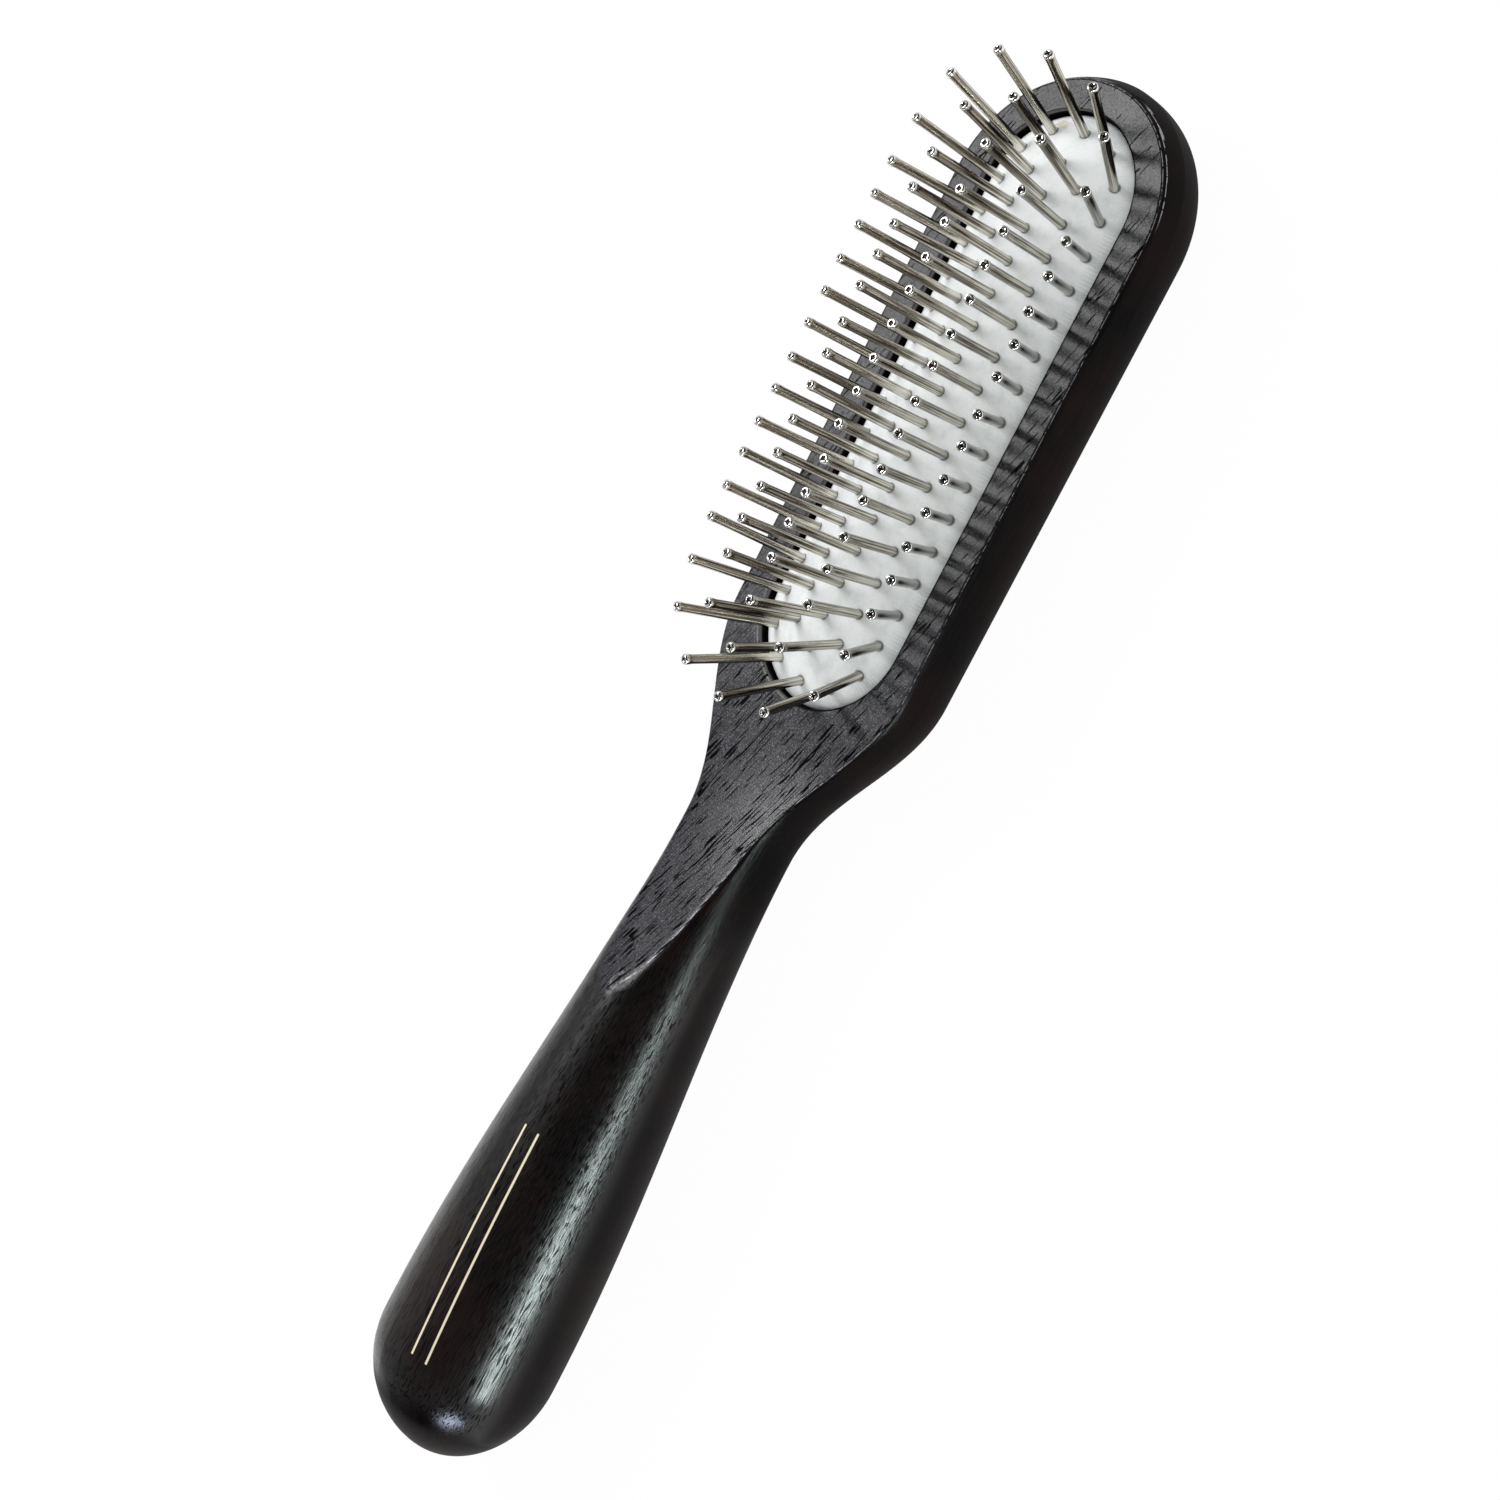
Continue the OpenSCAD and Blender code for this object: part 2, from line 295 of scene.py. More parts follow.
def ring_at(x):
    """One closed ring: over the top from the left side to the right, then under the back."""
    middle, half, above, below, power = section_at(x)
    tilt = math.atan(lean_at(x))
    level = math.asin(min(1.0, max(0.0, (face_at(x) - middle) * math.cos(tilt) / above)))
    left, right = quarter_turns(level - tilt), quarter_turns(level + tilt)
    top = np.concatenate([left, [QUARTER], math.pi - right[::-1]])
    under = np.linspace(math.pi, 2 * math.pi, BACK_POINTS + 1)[1:-1]
    y_top = half * np.cos(top)
    z_top, _ = top_over(x, y_top)
    y_back = half * np.sign(np.cos(under)) * np.abs(np.cos(under)) ** power
    z_back = -below * np.abs(np.sin(under)) ** power
    y = np.concatenate([y_top, y_back])
    z = np.maximum(middle + np.concatenate([z_top, z_back]), 0)
    return np.stack([np.full(len(y), x), y, z], 1)


rings = [ring_at(x) for x in stations]
sides = len(rings[0])
ends = [[[tip_x, 0, axis_z]], [[-tip_x, 0, axis_z - END_DROP]]]
body = new_piece("carved_body", np.concatenate(rings + ends), ring_faces(len(rings), sides))
print("body rings", len(rings), "points in a ring", sides)

# %% [markdown]
# The pocket is cut with a Boolean. The cutter is an oblong tower whose outline widens a
# little at the mouth, so the cut leaves a small rounded lip instead of a sharp one. The
# ledge on which the pad's rim rests and the air chamber under it come from the same tower.

# %% Cut the pocket
LIP_R, LIP_STEPS, OBLONG_STEPS = 0.28, 5, 48
CUTTER_ABOVE = 3.0


def oblong_ring(radius, z):
    """Points of an oblong with half-round ends, about the middle of the pad."""
    turn = np.linspace(-QUARTER, QUARTER, OBLONG_STEPS)
    right = np.stack([pocket_half + radius * np.cos(turn), radius * np.sin(turn)], 1)
    around = np.concatenate([right, -right])
    return np.column_stack([around[:, 0] + pad_x, around[:, 1], np.full(len(around), z)])


chamber_r = pocket_r - LEDGE_W
tower = [(chamber_r, face_z - CHAMBER_DEPTH), (chamber_r, face_z - LEDGE_DEPTH),
         (pocket_r, face_z - LEDGE_DEPTH)]
for i in range(LIP_STEPS + 1):
    a = QUARTER * i / LIP_STEPS
    tower.append((pocket_r + LIP_R * (1 - math.cos(a)), face_z - LIP_R * (1 - math.sin(a))))
tower.append((pocket_r + LIP_R, face_z + CUTTER_ABOVE))
cutter_points = np.concatenate([oblong_ring(r, z) for r, z in tower]
                               + [[[pad_x, 0, tower[0][1]]], [[pad_x, 0, tower[-1][1]]]])
cutter = new_piece("pocket_cutter", cutter_points, ring_faces(len(tower), 2 * OBLONG_STEPS))
cut = body.modifiers.new("pocket", "BOOLEAN")
cut.operation, cut.object, cut.solver = "DIFFERENCE", cutter, "EXACT"
apply_modifiers(body)
bpy.data.objects.remove(cutter)
print("body faces after the cut", len(body.data.polygons))

# %% [markdown]
# The finish has to know which points lie on the planed face, so each point stores how far
# it belongs to it. Points inside the pocket and below the widest line store 0. Then the
# shading is made smooth, with the corners that are meant to be sharp kept.

# %% Mark the planed face and shade the body
LIP_SHARE, CLEAR_OF_BACK = 0.9, 0.5
BODY_SHARP = 32  # degrees; corners sharper than this stay sharp


def planed_at(point):
    """How much a point of the body belongs to the planed face, from 0 to 1."""
    x, y, z = point / MM
    outside = math.hypot(max(0.0, abs(x - pad_x) - pocket_half), y) - pocket_r
    in_pocket = outside < LIP_R * LIP_SHARE and z < face_z - LIP_R * LIP_SHARE
    if in_pocket or z < axis_z + CLEAR_OF_BACK:
        return 0.0
    return float(top_over(x, [y])[1][0])


def shade_by_angle(piece, degrees):
    """Smooth shading that keeps corners sharper than this angle, weighted by face size."""
    piece.data.shade_smooth()
    piece.data.set_sharp_from_angle(angle=math.radians(degrees))
    weigh = piece.modifiers.new("weighted", "WEIGHTED_NORMAL")
    weigh.keep_sharp = True
    return apply_modifiers(piece)


store(body, "planed", [planed_at(v.co) for v in body.data.vertices])
shade_by_angle(body, BODY_SHARP)
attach(body, "root")
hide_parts("wood_body")
print("body points marked", len(body.data.vertices))

# %% [markdown]
# ## Where the pins stand
# Eighty-four pins stand square to the domed pad. Rows of three and rows of two alternate,
# and an arc of three closes each end. Past FAN_LEAD they also lean outwards along the
# brush. The same rule as in the CAD source gives each pin's foot and direction.

# %% Feet and directions of the pins
def pull(x):
    """How far the columns have drawn in towards the middle at this place."""
    return max(0.0, abs(x) - (pocket_half - PULL_LEAD)) ** 2 / (2 * PULL_R)


def row_pins(row):
    """Feet of one row's pins, about the middle of the pad."""
    step = mid_row + 1 - row
    x = step * pitch / 2
    sign = math.copysign(1, x)
    if abs(step) == mid_row:
        back = sign * (pitch / 2 - ARC_SIDE_BACK)
        return [(x + sign * pitch / 2, 0), (x + back, -INNER_COL), (x + back, INNER_COL)]
    if step % 2 == 0:
        return [(x, s * (INNER_COL - pull(x))) for s in (-1, 1)]
    return [(x, 0)] + [(x, s * (outer_col - pull(x))) for s in (-1, 1)]


def dome_height(x, y):
    past = max(0.0, abs(x) - pocket_half)
    return dome_z + math.sqrt(max(0.0, DOME_R**2 - past**2 - y**2))


def pin_place(x, y):
    """Matrix that puts a pin's own frame on the dome, its Z along the pin."""
    lean_x = math.copysign(math.asin(max(0.0, abs(x) - (pocket_half - FAN_LEAD)) / FAN_R), x)
    lean_y = math.asin(y / DOME_R)
    turn = Matrix.Rotation(-lean_y, 4, "X") @ Matrix.Rotation(lean_x, 4, "Y")
    return Matrix.Translation((pad_x + x, y, dome_height(x, y))) @ turn


pin_rows = {row: row_pins(row) for row in range(1, ROWS + 1)}
feet = np.array([p for pins in pin_rows.values() for p in pins])
print("pins:", len(feet))

# %% [markdown]
# ## The pad
# The real pad is a sheet of white rubber faced with cloth, domed like a long cushion, and
# drawn down a little round every pin. The skin is a fine grid over the oblong: its height
# is the dome's, rounded over at the rim, with a small dimple at each foot. Cloth
# simulation isn't needed because the sheet is held taut; a height law gives it exactly.

# %% Height of the pad's skin
PAD_ROWS_STRAIGHT, PAD_ROWS_END, PAD_ACROSS = 250, 46, 110
RIM_ROUND, RIM_DROP = 0.8, 0.9
DIMPLE_DEPTH, DIMPLE_R, DIMPLE_FALL = 0.16, 1.3, 1.6
UNDER_CLEAR = 0.02  # the flat underside stays this far above the ledge
FAR_FROM_PINS = 9.0  # stored on the underside, where no painted shadow of a pin's foot shows


def pad_surface(x, y):
    """Height of the pad's top, and its distances to the rim and to the nearest pin."""
    past = np.maximum(np.abs(x) - pocket_half, 0)
    z = dome_z + np.sqrt(DOME_R**2 - past**2 - y**2)
    inside = pad_r - np.hypot(past, y)
    bend = np.clip(1 - inside / RIM_ROUND, 0, 1)
    z -= RIM_ROUND * (1 - np.sqrt(1 - bend**2)) * RIM_DROP
    reach = np.hypot(x[:, None] - feet[None, :, 0], y[:, None] - feet[None, :, 1]).min(1)
    z -= DIMPLE_DEPTH * np.exp(-((reach / DIMPLE_R) ** 2) * DIMPLE_FALL)
    return z, inside, reach


def rim_run(x, ys):
    """How far along the rim a point lies, so that the cloth's ribs can follow the rim."""
    past = max(0.0, abs(x) - pocket_half)
    if past == 0:
        return np.full(len(ys), float(x))
    turn = QUARTER - np.arctan2(np.abs(ys), past)
    return math.copysign(pocket_half, x) + math.copysign(pad_r, x) * turn


# %% Rings of the pad: over the top from right to left, then back along the flat underside
end_turn = np.radians(np.linspace(90, 0, PAD_ROWS_END, endpoint=False))[1:]
pad_end = pocket_half + pad_r * np.sin(end_turn)
pad_middle = np.linspace(pocket_half, -pocket_half, PAD_ROWS_STRAIGHT)
even = np.linspace(-1, 1, PAD_ACROSS)
spread_out = np.sin(even * QUARTER) * 0.5 + even * 0.5  # closer together near the rim
spread_out /= spread_out.max()


def pad_ring(x):
    half = math.sqrt(max(0.0, pad_r**2 - max(0.0, abs(x) - pocket_half) ** 2))
    xs, ys = np.full(PAD_ACROSS, x), half * spread_out
    z, inside, reach = pad_surface(xs, ys)
    run = rim_run(x, ys)
    under_z = np.full(PAD_ACROSS, face_z - LEDGE_DEPTH + UNDER_CLEAR)
    top = np.column_stack([xs + pad_x, ys, z])
    under = np.column_stack([xs + pad_x, ys[::-1], under_z])
    return SimpleNamespace(
        points=np.concatenate([top, under]),
        foot_distance=np.concatenate([reach, np.full(PAD_ACROSS, FAR_FROM_PINS)]),
        from_rim=np.concatenate([inside, np.zeros(PAD_ACROSS)]),
        rim_run=np.concatenate([run, run[::-1]]))


pad_rings = [pad_ring(x) for x in np.concatenate([pad_end, pad_middle, -pad_end[::-1]])]
pad_points = np.concatenate([ring.points for ring in pad_rings])
print("pad rings", len(pad_rings), "points", len(pad_points))

# %% Build the pad's skin
PAD_SHARP = 50

pad_faces = ring_faces(len(pad_rings), 2 * PAD_ACROSS, closed_with_points=False)
first_ring = list(range(2 * PAD_ACROSS))
pad_faces.append(tuple(first_ring[::-1]))
pad_faces.append(tuple(len(pad_points) - 2 * PAD_ACROSS + i for i in first_ring))
pad = new_piece("domed_pad", pad_points, pad_faces)
for name in ("foot_distance", "from_rim", "rim_run"):
    store(pad, name, np.concatenate([getattr(ring, name) for ring in pad_rings]))
pad.data.set_sharp_from_angle(angle=math.radians(PAD_SHARP))
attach(pad, "root")
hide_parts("pad")
print("pad faces", len(pad.data.polygons))

# %% [markdown]
# ## The pins
# A pin is hard-drawn wire, plated, with a tip that a die has rounded over: slightly swollen
# at the brim, with a four-lobed dimple in the end. It is turned from a profile, and the
# rings inside the brim swell and shrink round the axis, which makes the lobes. No two real
# pins stand quite alike, so each gets a small lean of its own from a seeded random draw.

# %% Profile of a pin
PIN_SIDES, TIP_ROUND, TIP_STEPS, BRIM = 32, 0.3, 6, 0.09
LOBES, LOBE_DEPTH, DIMPLE_BOTTOM = 4, 0.34, 0.12
DIMPLE_RINGS = [(0.42, -0.02), (0.30, -0.12), (0.15, -0.22)]  # radius, and height at the tip
SHANK_HEIGHTS = (-1.2, -0.4, 2.0, 6.0, 10.0, 14.0, PIN_LEN - 1.6)
pin_r = PIN_D / 2
brim_r = pin_r + BRIM
foot_z = -(SHEET_T + HEAD_GAP)

profile = [(PIN_HEAD_D / 2, foot_z - PIN_HEAD_T), (PIN_HEAD_D / 2, foot_z), (pin_r, foot_z)]
profile += [(pin_r, z) for z in SHANK_HEIGHTS]
profile += [(pin_r + BRIM * 0.5, PIN_LEN - 1.0), (brim_r, PIN_LEN - 0.7)]
for i in range(TIP_STEPS + 1):
    a = QUARTER * i / TIP_STEPS
    inward, down = TIP_ROUND * (1 - math.cos(a)), TIP_ROUND * (1 - math.sin(a))
    profile.append((brim_r - inward, PIN_LEN - down))


def pin_ring(radius, z):
    return np.column_stack([radius * np.cos(turn), radius * np.sin(turn), np.full(PIN_SIDES, z)])


turn = np.linspace(0, 2 * math.pi, PIN_SIDES, endpoint=False)
lobed = 1 + LOBE_DEPTH * np.cos(LOBES * turn)
pin_rings = [pin_ring(r, z) for r, z in profile]
pin_rings += [pin_ring(r * lobed, PIN_LEN + dip) for r, dip in DIMPLE_RINGS]
pin_ends = [[0, 0, profile[0][1]], [0, 0, PIN_LEN - DIMPLE_BOTTOM]]
one_pin = np.concatenate(pin_rings + [pin_ends])
one_pin_faces = ring_faces(len(pin_rings), PIN_SIDES)
pit = np.arange(len(one_pin)) >= (len(profile) + 1) * PIN_SIDES
print("points in a pin", len(one_pin), "in its dimple", pit.sum())

# %% Stand the pins in their rows
STRAY_DEGREES, PIN_SHARP = 0.6, 60
PIN_APART, ROW_APART = 40.0, 100.0  # they keep the texture of one pin from its neighbours'


def stray(draw):
    """A small lean about each axis and a turn about the pin's own."""
    return (Matrix.Rotation(math.radians(draw.gauss(0, STRAY_DEGREES)), 4, "X")
            @ Matrix.Rotation(math.radians(draw.gauss(0, STRAY_DEGREES)), 4, "Y")
            @ Matrix.Rotation(draw.uniform(0, QUARTER), 4, "Z"))


def steel_row(row, pins, draw):
    """One row's pins as one piece, with the values that their finish reads."""
    points, faces, own_places = [], [], []
    for number, (x, y) in enumerate(pins):
        place = np.array(pin_place(x, y) @ stray(draw))
        base = number * len(one_pin)
        points.append(one_pin @ place[:3, :3].T + place[:3, 3])
        faces += [tuple(base + i for i in face) for face in one_pin_faces]
        own_places.append(one_pin + [0, 0, PIN_APART * number + ROW_APART * row])
    steel = new_piece(f"steel_pins_{row:02d}", np.concatenate(points), faces)
    steel.data.set_sharp_from_angle(angle=math.radians(PIN_SHARP))
    store(steel, "pin_place", np.concatenate(own_places), "FLOAT_VECTOR")
    store(steel, "height", np.tile(one_pin[:, 2], len(pins)))
    store(steel, "pit", np.tile(pit, len(pins)))
    return steel


draw = random.Random(7)
steel_rows = []
for row, pins in pin_rows.items():
    steel = steel_row(row, pins, draw)
    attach(steel, "root")
    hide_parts(f"pin_row_{row:02d}")
    steel_rows.append(steel)
print("rows of pins", len(steel_rows))

# %% [markdown]
# ## Shader maths in Python
# A finish is a tree of nodes. Wire wraps a value's socket, so that + - * on it add Math
# nodes, and Finish makes every other node with one method. Colours go through Mix nodes,
# because a Math node would turn them grey.

# %% A wrapped socket
class Wire:
    """A socket whose value can be used in arithmetic."""

    def __init__(self, finish, socket):
        self.finish, self.socket = finish, socket

    def math(self, operation, *others):
        inputs = dict(enumerate([self, *others]))
        return self.finish.node("ShaderNodeMath", {"operation": operation}, inputs)[0]

    def __add__(self, other):
        return self.math("ADD", other)

    def __sub__(self, other):
        return self.math("SUBTRACT", other)

    def __mul__(self, other):
        return self.math("MULTIPLY", other)

    def __rsub__(self, other):
        inputs = {0: other, 1: self}
        return self.finish.node("ShaderNodeMath", {"operation": "SUBTRACT"}, inputs)[0]

    __radd__, __rmul__ = __add__, __mul__

    def maximum(self, other):
        return self.math("MAXIMUM", other)

    def step(self, low, high):
        """0 below low, 1 above high, and smooth between."""
        return self.finish.node("ShaderNodeMapRange", {"interpolation_type": "SMOOTHSTEP"},
                                {"Value": self, "From Min": low, "From Max": high})[0]

    def fade(self, low, high):
        """1 below low, 0 above high, and smooth between."""
        return 1 - self.step(low, high)


# %% A tree of nodes
class Outputs:
    """The outputs of one node, by number or by name."""

    def __init__(self, finish, made):
        self.finish, self.made = finish, made

    def __getitem__(self, key):
        return Wire(self.finish, self.made.outputs[key])


class Finish:
    """The nodes of a material or of the world."""

    def __init__(self, owner):
        owner.use_nodes = True
        self.owner, self.tree = owner, owner.node_tree
        self.tree.nodes.clear()

    def node(self, kind, settings=None, inputs=None):
        """Any node: its type, its settings, and the values or wires of its sockets."""
        made = self.tree.nodes.new(kind)
        for key, value in (settings or {}).items():
            setattr(made, key, value)
        for key, value in (inputs or {}).items():
            socket = made.inputs[key]
            if isinstance(value, Wire):
                self.tree.links.new(value.socket, socket)
            else:
                socket.default_value = (*value, 1) if socket.type == "RGBA" else value
        return Outputs(self, made)

    def attribute(self, name, output="Fac"):
        return self.node("ShaderNodeAttribute", {"attribute_name": name})[output]

    def split(self, vector):
        return self.node("ShaderNodeSeparateXYZ", None, {0: vector})

    def scaled(self, vector, factors):
        return self.node("ShaderNodeVectorMath", {"operation": "MULTIPLY"},
                         {0: vector, 1: factors})[0]

    def noise(self, vector, scale, detail=2.0, rough=0.5):
        return self.node("ShaderNodeTexNoise", None, {
            "Vector": vector, "Scale": scale, "Detail": detail, "Roughness": rough})[0]

    def bump(self, strength, depth, height):
        return self.node("ShaderNodeBump", None, {
            "Strength": strength, "Distance": depth, "Height": height})[0]

    def blend(self, amount, under, over):
        """One colour over another by an amount."""
        return self.node("ShaderNodeMix", {"data_type": "RGBA"},
                         {0: amount, 6: under, 7: over})[2]

    def lay(self, amount, under, over):
        """One surface over another by an amount."""
        return self.node("ShaderNodeMixShader", None, {0: amount, 1: under, 2: over})[0]

    def principled(self, inputs):
        return self.node("ShaderNodeBsdfPrincipled", None, inputs)[0]

    def diffuse(self, color):
        return self.node("ShaderNodeBsdfDiffuse", None, {"Color": color})[0]

    def close(self, shader, output="ShaderNodeOutputMaterial"):
        self.node(output, None, {"Surface": shader})
        return self.owner


print("shader helpers ready")

# %% [markdown]
# ## Stained wood
# The body is an open-pored wood stained almost black. The planed face is left matt, so it
# looks charcoal grey; the carved sides and the handle are rubbed and lacquered, so they
# look nearly black with a soft shine. The pores are the wood's vessels: long thin tubes
# that run at a small angle to the brush. A solid texture suits them, because it is cut by
# every surface as the saw cuts the wood: the coordinates are turned to the grain and
# squeezed across it, and only the highest peaks of the noise become pores.

# %% Grain of the wood
PER_M = 1 / MM
GRAIN_TURN, RUBBED_TURN = math.radians(19), 0.04  # the pores' angle, the lacquer's streaks'
PORE_BANDS, PORES_THIN_OUT = 0.34, 0.0008  # more pores in bands, fewer towards the tip
VESSEL, BAND, FIBRE = (3.8, 0.33), (34, 3.0), (5.0, 0.16)  # length and width in millimetres
STREAK, TICK = (7.0, 0.17), (2.6, 0.24)
SPECK_SCALE, COARSE_SCALE, CLOUD_SCALE = 4200.0, 1300.0, 60.0  # details in a metre


def grain(f, size, detail, rough=0.5, turn=GRAIN_TURN, deep=0.2):
    """Noise whose grains have about this length and width."""
    length, width = size
    place = f.node("ShaderNodeTexCoord")["Object"]
    turned = f.node("ShaderNodeVectorRotate", {"rotation_type": "Z_AXIS"},
                    {"Vector": place, "Angle": turn})[0]
    across = PER_M / width
    return f.noise(f.scaled(turned, (PER_M / length, across, across * deep)), 1.0, detail, rough)


def wood_noises(f, place, x):
    """All the noises of the wood, in one bundle."""
    rubbed = {"turn": RUBBED_TURN, "deep": 1.0}
    vessels = grain(f, VESSEL, 0.0) + grain(f, BAND, 1.0) * PORE_BANDS
    return SimpleNamespace(
        pores=(vessels - x * PORES_THIN_OUT).step(0.81, 0.845),
        fibres=grain(f, FIBRE, 2.0, 0.65),
        streaks=grain(f, STREAK, 1.0, **rubbed),
        ticks=grain(f, TICK, 0.0, **rubbed).step(0.585, 0.65),
        specks=f.noise(place, SPECK_SCALE, 2.0, 0.7),
        coarse=f.noise(place, COARSE_SCALE, 2.0, 0.6),
        clouds=f.noise(place, CLOUD_SCALE, 3.0, 0.55))


# %% [markdown]
# A few zones of the body differ in tone or shine: the head's face is calmer and darker
# than the scoop's, and darker still on its left side. The left side also has no pale line
# along the scoop's edge and no dulling at the neck, and the pocket's lip is a narrow band
# of its own, with a painted highlight on the left and painted shade on the right. Each zone
# is a value from 0 to 1 made from the place of the point on the brush, so it holds in every
# view.

# %% Zones of the body
LEFT_SIDE = (-1.0, 2.0)  # across the brush; the next three are along it
HEAD_CALM, HEAD_SIDES, NECK = (22.0, 45.0), (-5.0, 35.0), (-44.0, -14.0)
LIP_BELOW, LIP_WIDTH = (1.0, 0.6), (0.30, 0.42)


def body_zones(f):
    at = SimpleNamespace(place=f.node("ShaderNodeTexCoord")["Object"])
    where = f.split(at.place)
    at.x, at.y, at.z = (where[i] * PER_M for i in range(3))
    at.planed = f.attribute("planed")
    at.left, at.calm = at.y.step(*LEFT_SIDE), at.x.step(*HEAD_CALM)
    at.head, at.neck = at.x.step(*HEAD_SIDES), at.x.step(*NECK)
    past = ((at.x - pad_x).math("ABSOLUTE") - pocket_half).maximum(0.0)
    away = (past * past + at.y * at.y).math("SQRT") - pocket_r
    at.lip = at.z.step(*(face_z - below for below in LIP_BELOW)) * away.fade(*LIP_WIDTH)
    facing = f.split(f.node("ShaderNodeNewGeometry")["Normal"])
    at.upward, at.endward = facing[2], 0 - facing[0]
    return at


# %% [markdown]
# The stain is darker on the lacquered sides than on the face. Over it come marks that are
# partly this one brush's wear and partly painted light: a pale line of wear and painted
# highlight along the face's edge, strongest along the scoop, a pale patch of chafing and
# painted highlight at the scoop's end, a broken painted highlight along the nose's edge,
# and a painted highlight on the pocket's left lip. They are painted as tones, broken up by
# a noise.

# %% Tones of the wood, its wear and its painted highlights
FACE_DARK, FACE_PALE = (0.014, 0.014, 0.017), (0.044, 0.044, 0.052)
FACE_CALM = (0.006, 0.006, 0.0075)
SIDE_DARK, SIDE_WARM = (0.0022, 0.0018, 0.0017), (0.0100, 0.0050, 0.0045)
SIDE_STREAK = (0.012, 0.009, 0.008)
# Two pale tones, each for wear and a painted highlight, then two tones for painted highlights
# only.
WEAR_AND_HIGHLIGHT, CHAFE_AND_HIGHLIGHT = (0.50, 0.50, 0.52), (0.26, 0.26, 0.27)
SPARK, LEFT_LIP_HIGHLIGHT = (0.42, 0.42, 0.44), (0.30, 0.30, 0.29)
ON_FACE = (0.35, 0.75)  # how planed a point is where the face's finish starts and is full
WEAR_HIGHLIGHT_IN, WEAR_HIGHLIGHT_OUT = (0.76, 0.85), (0.95, 0.99)  # how planed the face is at the pale line of wear and highlight
NOT_LEFT_OF, NOT_BEHIND = (-3.0, 0.0), (5.0, 25.0)  # the scoop's left edge gets no pale line of wear and highlight
# Where a pale patch of chafing and painted highlight lies at the scoop's end.
CHAFE_HIGHLIGHT_AT, CHAFE_HIGHLIGHT_R, CHAFE_HIGHLIGHT_LONG, CHAFE_HIGHLIGHT_ABOVE = (-36.0, 0.1), (0.5, 1.7), 0.5, (18.0, 20.0)
# Where the broken painted highlight runs along the nose's edge.
SPARK_IN, SPARK_OUT = (0.01, 0.03), (0.10, 0.16)
SPARK_FROM, SPARK_SIDE, SPARK_ABOVE = (103.0, 108.0), (-9.0, -6.0), (15.0, 16.0)


def stained(f, at, wood):
    face = f.blend(wood.fibres.step(0.36, 0.64), FACE_DARK, FACE_PALE)
    face = f.blend(at.calm * 0.75, face, FACE_CALM)
    side = f.blend(wood.clouds.step(0.35, 0.7), SIDE_DARK, SIDE_WARM)
    side = f.blend(wood.streaks.step(0.5, 0.8) * 0.5, side, SIDE_STREAK)
    return f.blend(at.planed.step(*ON_FACE), side, face)


def marked(f, at, wood, tone):
    """Wear and painted highlights over the stain."""
    right_or_ahead = 1 - at.y.step(*NOT_LEFT_OF) * at.x.fade(*NOT_BEHIND)
    # A pale line along the face's edge: wear and a painted highlight, weaker on the head.
    wear_and_highlight = at.planed.step(*WEAR_HIGHLIGHT_IN) * at.planed.fade(*WEAR_HIGHLIGHT_OUT) * right_or_ahead
    wear_and_highlight = wear_and_highlight * wood.coarse.step(0.38, 0.56)
    tone = f.blend(wear_and_highlight * (0.95 - at.x.step(5.0, 20.0) * 0.3), tone, WEAR_AND_HIGHLIGHT)
    # A pale patch at the scoop's end: chafing and a painted highlight.
    off_x, off_y = (at.x - CHAFE_HIGHLIGHT_AT[0]) * CHAFE_HIGHLIGHT_LONG, at.y - CHAFE_HIGHLIGHT_AT[1]
    off = (off_x.math("POWER", 2.0) + off_y.math("POWER", 2.0)).math("SQRT")
    chafe_and_highlight = off.fade(*CHAFE_HIGHLIGHT_R) * wood.coarse.step(0.40, 0.60) * at.z.step(*CHAFE_HIGHLIGHT_ABOVE)
    tone = f.blend(chafe_and_highlight * 0.75, tone, CHAFE_AND_HIGHLIGHT)
    # A broken painted highlight along the right side of the nose's edge.
    spark = at.planed.step(*SPARK_IN) * at.planed.fade(*SPARK_OUT)
    spark = spark * at.x.step(*SPARK_FROM) * at.y.fade(*SPARK_SIDE)
    spark = spark * at.z.step(*SPARK_ABOVE) * wood.coarse.step(0.36, 0.46)
    tone = f.blend(spark * 0.8, tone, SPARK)
    # The pocket's left lip is made paler: a painted highlight.
    return f.blend(at.lip * at.left * 0.5, tone, LEFT_LIP_HIGHLIGHT)


# %% [markdown]
# Two thin cream lines are printed on the handle. They are straight in plan, so each is a
# distance from a sloping line, cut off at both ends and kept to the handle's top.

# %% The two printed lines
LINE_TOP, LINE_LEFT, LINE_RIGHT, LINE_SLOPE = 27.5, -103.9, -62.6, 0.059
LINE_HEIGHTS, LINE_WIDE, LINE_TONE = (0.31, -2.63), 0.19, (0.80, 0.72, 0.52)
INK_EDGE, INK_END = 0.04, 0.05


def printed_lines(at):
    starts = at.x.step(LINE_LEFT - INK_END, LINE_LEFT + INK_END)
    stops = at.x.fade(LINE_RIGHT - INK_END, LINE_RIGHT + INK_END)
    lines = []
    for height in LINE_HEIGHTS:
        off = (at.y - (at.x - LINE_RIGHT) * LINE_SLOPE - height).math("ABSOLUTE")
        lines.append(off.fade(LINE_WIDE - INK_EDGE, LINE_WIDE + INK_EDGE))
    return lines[0].maximum(lines[1]) * (starts * stops * at.z.step(LINE_TOP - 1.5, LINE_TOP))


# %% [markdown]
# The face is built from three surfaces: dull wood, tiny glints where a fibre end shines,
# and a dark surface that returns almost no light. The glints shine more than the wood, and
# their pale colour is a painted glint. The dark surface is the pores and the gaps between
# fibres; it also covers more of the head's face, most on its left side, and lies on the
# pocket's right lip as painted shade. Mixing surfaces by a fine noise gives the gritty look
# that one roughness can't.

